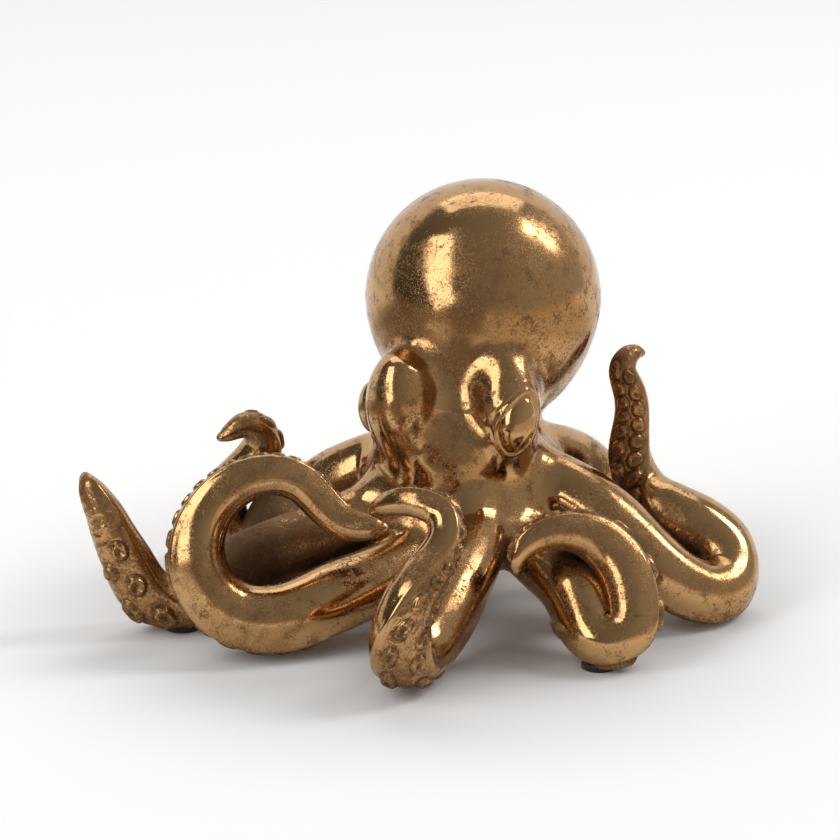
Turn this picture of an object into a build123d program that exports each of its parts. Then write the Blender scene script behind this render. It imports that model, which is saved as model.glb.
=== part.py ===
from build123d import *
import os

# An octopus figurine in cast brass. The ground is Z = 0, the face looks towards -Y, and the origin
# lies on the ground under the middle of the figurine. All sizes are in millimetres.

# Overall sizes
half_span = 150.0            # from the middle to the tip of the widest arm
casting_height = 185.2       # from the pads to the top of the mantle

# Body casting
mantle_radius = 52.5         # the round bag behind the head
nape_radius = 39.5           # the fullness under the mantle
brow_radius = 15.5           # half width of the upright swelling that carries each eye
brow_half_height = 25.0
wall = 4.0                   # metal left round the core
core_hole_radius = 11.0      # hole that the casting core came out of
plug_lip = 3.0               # how far the plug's flange overlaps the hole
plug_flange = 2.0            # thickness of the plug's flange

# Eyes
eye_radius = 7.0             # half width
eye_half_height = 11.5       # half height

# Arms
arm_root_radius = 16.0       # radius of the thickest arm where it leaves the body
section_step = 7.0           # distance from one arm section to the next
foot_grind = 2.0             # metal ground off an arm where a pad goes
floor_gap = 0.8              # air under an arm that has no pad

# Joints between the castings
spigot_radius = 6.0
spigot_length = 11.0
fit_clearance = 0.15         # all round a spigot, an eye or the plug

# Pads
pad_radius = 7.5
pad_thickness = 1.8

# An arm's section, as shares of its radius: a round back down to the rim, then a flatter sole.
rim_out_share = 0.94
rim_drop_share = 0.342
shoulder_out_share = 0.819
shoulder_rise_share = 0.574
sole_share = 0.84

# An arm's rounded tip: how far each further section lies past the last one, and its radius, both as
# shares of the last one's radius
tip_shares = [(0.55, 0.86), (0.95, 0.45)]

# The trunk carries the head and runs down into the arms. Each row is one level: the place of its
# centre left to right and front to back, as shares of the half span, its height, as a share of the
# casting height, and its half width and half depth, as shares of the mantle's radius.
trunk_shares = [
    (0.133, -0.010, 0.105, 0.46, 0.44),
    (0.133, -0.010, 0.150, 0.70, 0.66),
    (0.127, -0.010, 0.225, 0.83, 0.76),
    (0.113, -0.020, 0.310, 0.78, 0.72),
    (0.105, -0.045, 0.395, 0.68, 0.66),
    (0.100, -0.070, 0.485, 0.68, 0.59),
    (0.118, -0.030, 0.565, 0.72, 0.62),
    (0.165, 0.095, 0.650, 0.72, 0.68),
]
mantle_place_shares = (0.187, 0.160, 0.716)
nape_place_shares = (0.195, 0.220, 0.595)

# The brows and eyes go with the head: each row holds how far it lies from the head's middle, left to
# right and front to back, as shares of the mantle's radius, and its height, as a share of the
# casting height.
head_place_shares = (0.100, -0.070)
brow_place_shares = [(-0.443, -0.286, 0.520), (0.425, -0.295, 0.520)]
eye_place_shares = {
    "eye_left": (-0.657, 0.100, 0.492),
    "eye_right": (0.537, -0.520, 0.490),
}

# Each arm's centre line, from inside the trunk to the tip. Each point holds its place left to
# right and front to back, as shares of the half span, its lift, as a share of the casting height,
# and the arm's radius there, as a share of the root radius. The joint lies at the given share of
# the arm's length, and a padded arm stands on the ground.
arm_facts = {
    "arm_front_left": {
        "joint_share": 0.16,
        "padded": False,
        "route_shares": [
            (0.005, -0.175, 0.130, 0.92), (-0.080, -0.300, 0.077, 0.96), (-0.240, -0.423, 0.032, 1.00),
            (-0.407, -0.500, 0.003, 0.93), (-0.555, -0.517, 0.038, 0.88), (-0.637, -0.492, 0.165, 0.81),
            (-0.600, -0.447, 0.285, 0.7), (-0.460, -0.413, 0.370, 0.6), (-0.343, -0.400, 0.357, 0.56),
            (-0.262, -0.413, 0.297, 0.52), (-0.193, -0.440, 0.270, 0.45), (-0.137, -0.465, 0.278, 0.34),
            (-0.108, -0.475, 0.289, 0.2),
        ],
    },
    "arm_front": {
        "joint_share": 0.13,
        "padded": False,
        "route_shares": [
            (0.153, -0.200, 0.178, 0.95), (0.147, -0.300, 0.152, 0.94), (0.107, -0.460, 0.102, 0.92),
            (0.050, -0.605, 0.048, 0.9), (-0.006, -0.718, 0.010, 0.88), (-0.050, -0.812, 0.008, 0.86),
            (-0.059, -0.864, 0.070, 0.82), (-0.024, -0.834, 0.178, 0.72), (0.033, -0.773, 0.244, 0.62),
            (0.073, -0.713, 0.301, 0.53), (0.060, -0.660, 0.350, 0.475), (-0.007, -0.633, 0.376, 0.42),
            (-0.075, -0.600, 0.371, 0.35), (-0.122, -0.575, 0.360, 0.24),
        ],
    },
    "arm_front_right": {
        "joint_share": 0.15,
        "padded": True,
        "route_shares": [
            (0.273, -0.160, 0.145, 0.88), (0.322, -0.235, 0.124, 0.88), (0.383, -0.367, 0.100, 0.88),
            (0.447, -0.485, 0.053, 0.83), (0.512, -0.572, -0.001, 0.76), (0.582, -0.572, 0.022, 0.71),
            (0.604, -0.520, 0.106, 0.70), (0.568, -0.475, 0.179, 0.67), (0.500, -0.453, 0.232, 0.63),
            (0.420, -0.467, 0.261, 0.57), (0.347, -0.490, 0.266, 0.49), (0.293, -0.513, 0.251, 0.39),
            (0.270, -0.527, 0.231, 0.29), (0.268, -0.533, 0.215, 0.18),
        ],
    },
    "arm_right": {
        "joint_share": 0.13,
        "padded": False,
        "route_shares": [
            (0.320, -0.027, 0.245, 0.98), (0.400, -0.067, 0.225, 0.98), (0.487, -0.113, 0.198, 0.96),
            (0.567, -0.160, 0.157, 0.94), (0.647, -0.200, 0.099, 0.93), (0.737, -0.222, 0.040, 0.92),
            (0.837, -0.196, 0.002, 0.90), (0.908, -0.118, 0.020, 0.87), (0.894, -0.017, 0.076, 0.86),
            (0.808, 0.038, 0.122, 0.85), (0.731, 0.080, 0.151, 0.79), (0.667, 0.115, 0.204, 0.69),
            (0.633, 0.140, 0.284, 0.61), (0.637, 0.147, 0.388, 0.5), (0.623, 0.140, 0.467, 0.455),
            (0.607, 0.148, 0.515, 0.39), (0.626, 0.170, 0.550, 0.31), (0.660, 0.197, 0.562, 0.18),
        ],
    },
    "arm_back_right": {
        "joint_share": 0.16,
        "padded": True,
        "route_shares": [
            (0.305, 0.107, 0.278, 0.94), (0.373, 0.167, 0.261, 0.92), (0.460, 0.260, 0.226, 0.89),
            (0.547, 0.350, 0.154, 0.85), (0.627, 0.447, 0.058, 0.8), (0.687, 0.550, -0.001, 0.74),
            (0.660, 0.660, 0.003, 0.66), (0.567, 0.715, 0.022, 0.56), (0.467, 0.667, 0.055, 0.47),
            (0.447, 0.580, 0.090, 0.36), (0.500, 0.520, 0.118, 0.27), (0.553, 0.533, 0.140, 0.18),
        ],
    },
    "arm_back": {
        "joint_share": 0.12,
        "padded": False,
        "route_shares": [
            (0.120, 0.213, 0.240, 0.92), (0.093, 0.333, 0.190, 0.9), (0.050, 0.520, 0.100, 0.84),
            (0.030, 0.700, 0.020, 0.78), (0.090, 0.840, 0.006, 0.72), (0.205, 0.868, 0.010, 0.655),
            (0.285, 0.785, 0.025, 0.56), (0.260, 0.680, 0.055, 0.44), (0.185, 0.655, 0.090, 0.33),
            (0.140, 0.690, 0.125, 0.18),
        ],
    },
    "arm_back_left": {
        "joint_share": 0.12,
        "padded": True,
        "route_shares": [
            (-0.053, 0.093, 0.270, 0.96), (-0.133, 0.120, 0.245, 0.94), (-0.240, 0.153, 0.207, 0.905),
            (-0.353, 0.220, 0.144, 0.845), (-0.440, 0.300, 0.085, 0.79), (-0.527, 0.355, -0.002, 0.74),
            (-0.600, 0.370, 0.055, 0.69), (-0.593, 0.347, 0.143, 0.67), (-0.533, 0.340, 0.199, 0.67),
            (-0.489, 0.333, 0.248, 0.66), (-0.480, 0.320, 0.293, 0.58), (-0.496, 0.300, 0.329, 0.5),
            (-0.531, 0.280, 0.348, 0.42), (-0.570, 0.263, 0.345, 0.32), (-0.600, 0.250, 0.341, 0.2),
        ],
    },
    "arm_left": {
        "joint_share": 0.16,
        "padded": True,
        "route_shares": [
            (-0.067, -0.080, 0.190, 0.96), (-0.153, -0.107, 0.170, 0.94), (-0.267, -0.137, 0.140, 0.92),
            (-0.413, -0.173, 0.106, 0.875), (-0.560, -0.213, 0.056, 0.83), (-0.685, -0.247, 0.000, 0.8),
            (-0.785, -0.267, 0.030, 0.79), (-0.840, -0.280, 0.113, 0.725), (-0.879, -0.287, 0.193, 0.625),
            (-0.910, -0.287, 0.262, 0.525), (-0.945, -0.280, 0.325, 0.38), (-0.960, -0.260, 0.352, 0.25),
        ],
    },
}


def body_point(x_share, y_share, lift_share):
    """A place on the body, which stands as high above the ground as the pads are thick."""
    return Vector(x_share * half_span, y_share * half_span, pad_thickness + lift_share * casting_height)


def head_point(across_share, deep_share, lift_share):
    """A place on the head, beside its middle."""
    middle = body_point(*head_place_shares, lift_share)
    return middle + Vector(across_share * mantle_radius, deep_share * mantle_radius, 0)


def arm_point(x_share, y_share, lift_share, radius, padded):
    """A point of an arm's centre line: at no lift the sole just meets its pad, or clears the ground."""
    sole_level = pad_thickness - foot_grind if padded else floor_gap
    return Vector(
        x_share * half_span,
        y_share * half_span,
        sole_level + sole_share * radius + lift_share * casting_height,
    )


def radius_at(share, knots, radii):
    """The arm's radius at a share of its length, between the radii of its route's points."""
    for low, high, thin, thick in zip(knots, knots[1:], radii, radii[1:]):
        if share <= high:
            return thin + (thick - thin) * (share - low) / (high - low)
    return radii[-1]


def arm_sections(facts):
    """The planes and radii of an arm's sections, evenly spaced, each with its back kept upward."""
    radii = [row[-1] * arm_root_radius for row in facts["route_shares"]]
    points = [
        arm_point(x_share, y_share, lift_share, radius, facts["padded"])
        for (x_share, y_share, lift_share, _), radius in zip(facts["route_shares"], radii)
    ]
    knots = [0.0]
    for start, end in zip(points, points[1:]):
        knots.append(knots[-1] + (end - start).length)
    knots = [knot / knots[-1] for knot in knots]
    with BuildLine() as centre:
        Spline(*points)
    centre_line = centre.edges()[0]
    before = max(2, round(centre_line.length * facts["joint_share"] / section_step))
    after = round(centre_line.length * (1 - facts["joint_share"]) / section_step)
    shares = [facts["joint_share"] * step / before for step in range(before)]
    shares += [facts["joint_share"] + (1 - facts["joint_share"]) * step / after for step in range(after + 1)]
    back = Vector(0, 0, 1)
    rows = []
    for share in shares:
        along = centre_line % share
        back = (back - along * back.dot(along)).normalized()
        plane = Plane(origin=centre_line @ share, x_dir=back.cross(along), z_dir=along)
        rows.append((plane, radius_at(share, knots, radii)))
    return rows[: before + 1], rows[before:]


def tip_rows(last, radius):
    """The planes and radii that round off an arm past its last section."""
    return [
        (Plane(origin=last.origin + last.z_dir * (away_share * radius), x_dir=last.x_dir, z_dir=last.z_dir),
         size_share * radius)
        for away_share, size_share in tip_shares
    ]


def arm_faces(rows):
    """The section faces of an arm: two arcs over the back and one under the sole."""
    faces = []
    for plane, radius in rows:
        top = (0, radius)
        right = (rim_out_share * radius, -rim_drop_share * radius)
        left = (-rim_out_share * radius, -rim_drop_share * radius)
        right_shoulder = (shoulder_out_share * radius, shoulder_rise_share * radius)
        left_shoulder = (-shoulder_out_share * radius, shoulder_rise_share * radius)
        with BuildSketch(plane) as section:
            with BuildLine():
                ThreePointArc(right, right_shoulder, top)
                ThreePointArc(top, left_shoulder, left)
                ThreePointArc(left, (0, -sole_share * radius), right)
            make_face()
        faces.append(section.sketch)
    return faces


def trunk_faces(inset, floor_rise):
    """The trunk's levels as ellipses, drawn in by a wall for the core, which also starts higher."""
    faces = []
    for level, (x_share, y_share, lift_share, wide_share, deep_share) in enumerate(trunk_shares):
        origin = body_point(x_share, y_share, lift_share)
        if level == 0:
            origin = origin + Vector(0, 0, floor_rise)
        with BuildSketch(Plane(origin=origin)) as outline:
            Ellipse(wide_share * mantle_radius - inset, deep_share * mantle_radius - inset)
        faces.append(outline.sketch)
    return faces


def egg_shape(middle, half_width, half_height):
    """An upright egg, half an ellipse turned about its long axis."""
    with BuildPart() as shape:
        with BuildSketch(Plane(origin=middle, x_dir=(1, 0, 0), z_dir=(0, -1, 0))):
            with BuildLine():
                EllipticalCenterArc((0, 0), half_width, half_height, start_angle=-90, arc_size=180)
                Line((0, half_height), (0, -half_height))
            make_face()
        revolve(axis=Axis(middle, (0, 0, 1)))
    return shape.part


def foot_of(rows):
    """The place of an arm's lowest section, projected on the ground."""
    lowest = min(rows, key=lambda row: row[0].origin.Z - sole_share * row[1])
    return Vector(lowest[0].origin.X, lowest[0].origin.Y, 0)


def inward(plane):
    """A joint's plane turned to look back into the body."""
    return Plane(origin=plane.origin, x_dir=plane.x_dir, z_dir=-plane.z_dir)


os.makedirs("parts", exist_ok=True)

arm_rows = {name: arm_sections(facts) for name, facts in arm_facts.items()}
mantle_centre = body_point(*mantle_place_shares)
nape_centre = body_point(*nape_place_shares)
trunk_floor = body_point(*trunk_shares[0][:3])
plug_plane = Plane(origin=trunk_floor, z_dir=(0, 0, -1))

# The body: a hollow casting of mantle, head and trunk, with a stub for each arm
stub_faces = [arm_faces(stub) for stub, reach in arm_rows.values()]
outer_faces = trunk_faces(0, 0)
core_faces = trunk_faces(wall, wall)
brows = [egg_shape(head_point(*place), brow_radius, brow_half_height) for place in brow_place_shares]
sockets = [
    egg_shape(head_point(*place), eye_radius + fit_clearance, eye_half_height + fit_clearance)
    for place in eye_place_shares.values()
]
with BuildPart() as mantle_and_head:
    loft(sections=outer_faces)
    with Locations(mantle_centre):
        Sphere(mantle_radius)
    with Locations(nape_centre):
        Sphere(nape_radius)
    for brow in brows:
        add(brow)
    for faces in stub_faces:
        loft(sections=faces)
    loft(sections=core_faces, mode=Mode.SUBTRACT)
    with Locations(mantle_centre):
        Sphere(mantle_radius - wall, mode=Mode.SUBTRACT)
    with Locations(plug_plane):
        CounterBoreHole(
            radius=core_hole_radius,
            counter_bore_radius=core_hole_radius + plug_lip,
            counter_bore_depth=plug_flange,
            depth=2 * wall,
        )
    for stub, reach in arm_rows.values():
        with Locations(inward(stub[-1][0])):
            Cylinder(
                spigot_radius + fit_clearance,
                spigot_length + fit_clearance,
                align=(Align.CENTER, Align.CENTER, Align.MIN),
                mode=Mode.SUBTRACT,
            )
    for socket in sockets:
        add(socket, mode=Mode.SUBTRACT)
mantle_and_head.part.label = "mantle_and_head"
export_step(mantle_and_head.part, "parts/mantle_and_head.step")

# The plug closes the core hole from below, its flange flush with the belly
with BuildPart() as core_plug:
    with BuildSketch(plug_plane):
        Circle(core_hole_radius + plug_lip - fit_clearance)
    extrude(amount=-plug_flange)
    with BuildSketch(plug_plane):
        Circle(core_hole_radius - fit_clearance)
    extrude(amount=-wall)
core_plug.part.label = "core_plug"
export_step(core_plug.part, "parts/core_plug.step")

# The eyes sit in their sockets, half sunk in the head
for name, place_shares in eye_place_shares.items():
    egg = egg_shape(head_point(*place_shares), eye_radius, eye_half_height)
    with BuildPart() as eye:
        add(egg)
    eye.part.label = name
    export_step(eye.part, "parts/" + name + ".step")

# The arms: solid castings, each with a spigot that fits its stub and a rounded tip
for name, (stub, reach) in arm_rows.items():
    faces = arm_faces(reach + tip_rows(*reach[-1]))
    with BuildPart() as arm:
        loft(sections=faces)
        with Locations(inward(reach[0][0])):
            Cylinder(spigot_radius, spigot_length, align=(Align.CENTER, Align.CENTER, Align.MIN))
        if arm_facts[name]["padded"]:
            split(bisect_by=Plane.XY.offset(pad_thickness), keep=Keep.TOP)
    arm.part.label = name
    export_step(arm.part, "parts/" + name + ".step")

# The pads under the four arms that stand on the ground
for name, (stub, reach) in arm_rows.items():
    if arm_facts[name]["padded"]:
        with BuildPart() as pad:
            with Locations(foot_of(reach)):
                Cylinder(pad_radius, pad_thickness, align=(Align.CENTER, Align.CENTER, Align.MIN))
        pad.part.label = name.replace("arm", "pad")
        export_step(pad.part, "parts/" + name.replace("arm", "pad") + ".step")
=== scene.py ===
import math

import bpy
import numpy as np
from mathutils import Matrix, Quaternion, Vector


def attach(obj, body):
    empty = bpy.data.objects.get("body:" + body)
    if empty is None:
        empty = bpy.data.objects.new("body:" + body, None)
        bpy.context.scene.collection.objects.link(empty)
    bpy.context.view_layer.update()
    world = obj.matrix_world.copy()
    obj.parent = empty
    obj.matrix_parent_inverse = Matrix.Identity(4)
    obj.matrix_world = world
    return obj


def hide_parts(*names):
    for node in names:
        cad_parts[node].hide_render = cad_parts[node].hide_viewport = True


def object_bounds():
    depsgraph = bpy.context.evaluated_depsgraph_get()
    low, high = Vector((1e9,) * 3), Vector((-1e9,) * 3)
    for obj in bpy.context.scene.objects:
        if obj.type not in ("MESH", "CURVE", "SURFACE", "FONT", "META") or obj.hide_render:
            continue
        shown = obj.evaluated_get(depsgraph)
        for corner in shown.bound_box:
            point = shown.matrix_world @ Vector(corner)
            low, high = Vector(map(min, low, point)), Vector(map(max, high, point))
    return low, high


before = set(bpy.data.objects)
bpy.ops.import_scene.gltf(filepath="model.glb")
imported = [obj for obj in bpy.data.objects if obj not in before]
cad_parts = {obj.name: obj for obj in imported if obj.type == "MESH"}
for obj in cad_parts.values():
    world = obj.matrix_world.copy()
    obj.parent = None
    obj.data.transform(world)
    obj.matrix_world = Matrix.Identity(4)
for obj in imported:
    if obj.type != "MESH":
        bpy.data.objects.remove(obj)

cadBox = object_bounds()
scene = bpy.context.scene

# An octopus figurine in aged cast brass. Shapes are worked out in millimetres in the frame of the CAD
# parts, where the ground is z = 0 and the face looks towards -y, and become metres as meshes are made.
mm = 0.001
figure = {
    "halfSpan": 150.0,  # middle to the tip of the widest arm
    "castingHeight": 185.2,  # pads to the top of the mantle
    "mantleRadius": 52.5,
    "armRoot": 16.0,  # radius of the thickest arm where it leaves the body
    "padThickness": 1.8,
    "footGrind": 2.0,  # ground off an arm over its pad
    "floorGap": 0.8,  # air under an arm with no pad
}
span = (figure["halfSpan"], figure["halfSpan"], figure["castingHeight"])

# An arm's section, as shares of its radius: a round back down to the rim, then a flatter sole
section = {
    "soleReach": 0.84,
    "soleArc": 1.136,
    "rimSoftness": 0.05,
    "rim": (108.0, 7.0),  # where and how wide, in degrees from the back
    "flank": (74.0, 22.0),
}


def smooth(value, low, high):
    # eased step: 0 below low, 1 above high, three t squared less two t cubed between
    t = np.clip((value - low) / (high - low), 0.0, 1.0)
    return t * t * (3.0 - 2.0 * t)


def softUnion(a, b, reach):
    # the lesser of two distances, with the crease between them filled over the given reach
    h = np.maximum(reach - np.abs(a - b), 0.0) / reach
    return np.minimum(a, b) - h * h * reach * 0.25


def lengths(vectors):
    return np.linalg.norm(vectors, axis=1)


def bump(value, middle, width, height):
    # a bell: its height by e to the power of less the square of the distance from the middle in widths
    return height * np.exp(-((value - middle) / width) ** 2)


def gridPoints(low, step, counts):
    axes = [low[axis] + step * np.arange(counts[axis]) for axis in range(3)]
    return np.stack(np.meshgrid(*axes, indexing="ij"), axis=-1).reshape(-1, 3)


def cornerShares(part):
    # the eight corners of a cell, each with its share of a place in the cell
    for corner in np.ndindex(2, 2, 2):
        step = np.array(corner[::-1])
        yield step, np.prod(np.where(step, part, 1.0 - part), axis=1)


def latticeNoise(points, seed):
    # smooth noise in -1..1: random values on a unit lattice, eased between the eight corners of a cell
    base = np.floor(points).astype(np.int64)
    part = points - base
    part = part * part * (3.0 - 2.0 * part)
    total = np.zeros(len(points))
    for step, share in cornerShares(part):
        cell = base + step
        mixed = cell[:, 0] * 73856093 ^ cell[:, 1] * 19349663 ^ cell[:, 2] * 83492791 ^ seed * 2654435761
        mixed = (mixed ^ mixed >> 13) * 1274126177 & 0x7FFFFFFF
        total += share * ((mixed ^ mixed >> 16) % 65536 / 32767.5 - 1.0)
    return total


def layeredNoise(points, size, layers, seed):
    # layers of lattice noise, each half as large and half as strong as the one before
    return sum(
        latticeNoise(points / size * 2.0 ** layer, seed + layer) * 0.5 ** layer for layer in range(layers))


# Arms: each route point holds, in thousandths, its place left to right and front to back in half spans,
# its lift in casting heights, and the arm's radius in root radii.
# A roll row is a share of the length and the turn of the suckers about the arm there, in degrees. The
# first and last rows hold to the ends.
plainArm = {
    "joint": 0.16,  # share of the length where the arm meets its stub
    "padded": False,
    "rows": 440,
    "cup": 0.8,  # how hollow the suckers are
    "wrinkle": 0.5,  # folds between them
    "suckerFrom": 0.30,  # shares of the length
    "suckerTo": 0.97,
    "suckerAngle": 34.0,  # each row's turn away from the middle of the sole
    "suckerSize": 0.26,  # share of the arm's radius
    "suckerPitch": 1.2,  # in sucker sizes
    "flank": 0.03,  # how far the flank is pressed in above the rim
    "ridge": 0.03,  # how far the rim stands out
    "raw": (0.0, 0.0),  # shares of the length between which the skin is darkened, partly as unpolished casting and partly as painted shade
    "roll": [(0.0, 0.0)],
}
arms = {}
arms["arm_front_left"] = {
    "seed": 11, "rows": 600, "cup": 0.75, "suckerAngle": 35.0,
    "suckerSize": 0.24, "flank": 0.05, "ridge": 0.05,
    "roll": [(0.22, 0.0), (0.40, 12.0), (1.0, 14.0)],
    "route": [
        (5, -175, 130, 920), (-80, -300, 77, 960), (-240, -400, 40, 1010), (-407, -472, 13, 950),
        (-553, -490, 50, 890), (-634, -478, 170, 820), (-600, -447, 285, 700),
        (-460, -413, 370, 600), (-343, -400, 357, 560), (-262, -413, 297, 520),
        (-193, -440, 270, 450), (-137, -465, 278, 340), (-108, -475, 289, 200),
    ],
}
arms["arm_front"] = {
    "joint": 0.13, "seed": 12, "rows": 560, "cup": 1.0, "wrinkle": 1.0,
    "suckerTo": 0.96, "suckerAngle": 35.0, "suckerSize": 0.27, "suckerPitch": 1.5, "ridge": 0.045,
    "roll": [(0.38, 0.0), (0.50, -28.0), (0.62, -75.0), (0.76, -108.0), (1.0, -112.0)],
    "route": [
        (153, -200, 178, 950), (147, -300, 152, 940), (107, -460, 102, 920), (50, -605, 48, 900),
        (0, -695, 14, 880), (-40, -782, 16, 840), (-56, -830, 80, 800), (-24, -834, 178, 720),
        (33, -773, 244, 620), (73, -713, 301, 530), (60, -660, 350, 475), (-7, -633, 376, 420),
        (-75, -600, 371, 350), (-122, -575, 360, 240),
    ],
}
arms["arm_front_right"] = {
    "joint": 0.15, "padded": True, "seed": 13, "rows": 560, "cup": 0.6, "wrinkle": 0.7,
    "suckerAngle": 42.0, "suckerSize": 0.36, "suckerPitch": 1.75,
    "route": [
        (273, -160, 145, 880), (322, -235, 124, 880), (386, -362, 105, 930), (452, -474, 64, 930),
        (518, -560, 6, 840), (580, -565, 27, 780), (596, -516, 108, 790), (560, -472, 178, 750),
        (496, -453, 230, 690), (420, -467, 261, 570), (347, -490, 266, 490), (293, -513, 251, 390),
        (270, -527, 231, 290), (268, -533, 215, 180),
    ],
}
arms["arm_right"] = {
    "joint": 0.13, "seed": 14, "rows": 620, "cup": 0.5, "wrinkle": 0.6,
    "suckerFrom": 0.42, "suckerTo": 0.95, "suckerAngle": 30.0, "suckerSize": 0.4, "suckerPitch": 1.15,
    "flank": 0.04, "ridge": 0.035,
    "roll": [(0.55, 0.0), (0.69, -84.0), (0.78, -142.0), (1.0, -146.0)],
    "route": [
        (320, -27, 245, 980), (400, -67, 225, 980), (487, -113, 198, 960), (567, -160, 157, 940),
        (647, -200, 99, 930), (737, -222, 40, 920), (837, -196, 2, 900), (908, -118, 20, 870),
        (888, -30, 72, 950), (800, 12, 112, 980), (728, 52, 143, 920), (667, 115, 204, 690),
        (633, 140, 284, 610), (637, 147, 388, 500), (623, 140, 467, 455), (607, 148, 515, 390),
        (626, 170, 550, 310), (660, 197, 562, 180),
    ],
}
arms["arm_back_right"] = {
    "padded": True, "seed": 15,
    "route": [
        (305, 107, 278, 940), (373, 167, 261, 920), (460, 260, 226, 890), (547, 350, 154, 850),
        (627, 447, 58, 800), (687, 550, -1, 740), (660, 660, 3, 660), (567, 715, 22, 560),
        (467, 667, 55, 470), (447, 580, 90, 360), (500, 520, 118, 270), (553, 533, 140, 180),
    ],
}
arms["arm_back"] = {
    "joint": 0.12, "seed": 16,
    "route": [
        (120, 213, 240, 920), (93, 333, 190, 900), (50, 520, 100, 840), (30, 700, 20, 780),
        (90, 840, 6, 720), (205, 868, 10, 655), (285, 785, 25, 560), (260, 680, 55, 440),
        (185, 655, 90, 330), (140, 690, 125, 180),
    ],
}
arms["arm_back_left"] = {
    "joint": 0.12, "padded": True, "seed": 17, "rows": 480, "cup": 0.3, "suckerTo": 0.93,
    # this arm's listed stretch is darkened: partly unpolished casting, partly painted shade
    "suckerAngle": 36.0, "suckerSize": 0.34, "suckerPitch": 1.3, "raw": (0.22, 0.58),
    "roll": [(0.45, 0.0), (0.68, 140.0)],
    "route": [
        (-53, 93, 270, 960), (-133, 120, 245, 940), (-240, 153, 207, 905), (-353, 220, 144, 845),
        (-440, 300, 85, 790), (-527, 355, -2, 740), (-600, 370, 55, 690), (-593, 347, 143, 670),
        (-533, 340, 199, 670), (-489, 333, 248, 660), (-480, 320, 293, 580), (-496, 300, 329, 500),
        (-531, 280, 348, 420), (-570, 263, 345, 320), (-600, 250, 341, 200),
    ],
}
arms["arm_left"] = {
    "padded": True, "seed": 18, "rows": 560, "cup": 1.0, "wrinkle": 1.0,
    "suckerFrom": 0.40, "suckerTo": 0.86, "suckerAngle": 28.0, "suckerSize": 0.36, "suckerPitch": 2.0,
    # this arm's listed stretch is darkened: partly unpolished casting, partly painted shade
    "raw": (0.22, 0.60),
    "roll": [(0.45, 0.0), (0.66, -60.0)],
    "route": [
        (-67, -80, 190, 960), (-153, -107, 170, 940), (-267, -145, 134, 980), (-413, -185, 98, 980),
        (-560, -225, 52, 930), (-685, -247, 0, 800), (-785, -267, 30, 790), (-840, -280, 113, 725),
        (-879, -287, 193, 625), (-910, -287, 262, 525), (-945, -280, 325, 380),
        (-960, -260, 352, 250),
    ],
}
arms = {name: {**plainArm, **facts} for name, facts in arms.items()}

# How an arm meets the body: body and arm overlap about the joint, and their skins cross there
meeting = {
    "overlapBefore": 6.0,
    "overlapAfter": 5.0,
    "sink": 0.07,  # how far the hidden end of each lies under the other
    "bodySink": (-1.0, 4.0),  # from the joint, where the body's end dips and the arm's comes up
    "armSink": (-4.0, 1.0),
    "follow": (8.0, 28.0),  # past the joint, where the arm starts and ends leaving the creases
    "closingFrom": 0.45,  # share of the way to the joint where the creases start to close up
}

armMesh = {
    "columns": 132,
    "solePull": 1.5,  # how much denser the columns are on the sucker side
    "soleFrom": (80.0, 110.0),
    "angleSteps": 2000,
    "lineStep": 0.5,
    "curveSteps": 120,  # points of the curve between two route points
    "radiusEase": 29,  # steps over which the radius and the roll are eased
    "rollEase": 81,
    "capRings": 12,
    "capReach": 2.0,  # length of the rounded tip, in tip radii
    "grown": (10.0, 45.0),  # past the joint, where suckers, rim and wrinkles set in
    "worn": (108.0, 128.0),  # angle from the back where the sole's worn skin starts
    "fullRadius": 8.0,  # thinner than this, wrinkles and waves shrink with the arm
    "wave": 0.10,  # unevenness of the hand-finished back
    "waveNoise": (13.0, 2),  # size and layers
    "waveSeed": 50,
    "wrinkleNoise": (2.6, 3),
    "wrinkleStretch": (0.8, 0.6),  # along the arm and across it
    "wrinkleDepth": 0.26,
    "tipPoint": 0.02,
    # an arm's listed stretch is darkened, partly as unpolished casting and partly as painted shade: how strongly,
    # and over what length it eases in and out
    "rawAndShadeDepth": 0.82,
    "rawAndShadeStart": (-18.0, 26.0),
    "rawAndShadeEnd": (-30.0, 0.0),
}


def runningLength(points):
    return np.concatenate([[0.0], np.cumsum(lengths(np.diff(points, axis=0)))])


def eased(values, rows, **padding):
    # a running mean under a bell of the given number of rows
    kernel = np.hanning(rows)
    return np.convolve(np.pad(values, rows // 2, **padding), kernel / kernel.sum(), mode="valid")


def cubicThrough(points, perSpan):
    # one cubic a span through all points, knots spaced by chord, no third-derivative jump next to the ends
    knots = runningLength(points)
    gaps = np.diff(knots)
    count = len(points)
    matrix = np.zeros((count, count))
    right = np.zeros((count, points.shape[1]))
    inner = np.arange(1, count - 1)
    matrix[inner, inner - 1] = gaps[:-1]
    matrix[inner, inner] = 2.0 * (gaps[:-1] + gaps[1:])
    matrix[inner, inner + 1] = gaps[1:]
    slopes = np.diff(points, axis=0) / gaps[:, None]
    right[inner] = 6.0 * np.diff(slopes, axis=0)
    matrix[0, :3] = gaps[1], -gaps[0] - gaps[1], gaps[0]
    matrix[-1, -3:] = gaps[-1], -gaps[-2] - gaps[-1], gaps[-2]
    bends = np.linalg.solve(matrix, right)
    at = np.linspace(0.0, knots[-1], perSpan * (count - 1) + 1)
    span = np.clip(np.searchsorted(knots, at, side="right") - 1, 0, count - 2)
    gap, t = gaps[span][:, None], (at - knots[span])[:, None]
    back = gap - t
    return (
        bends[span] * back ** 3 / (6.0 * gap) + bends[span + 1] * t ** 3 / (6.0 * gap)
        + (points[span] / gap - bends[span] * gap / 6.0) * back
        + (points[span + 1] / gap - bends[span + 1] * gap / 6.0) * t
    )


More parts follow.
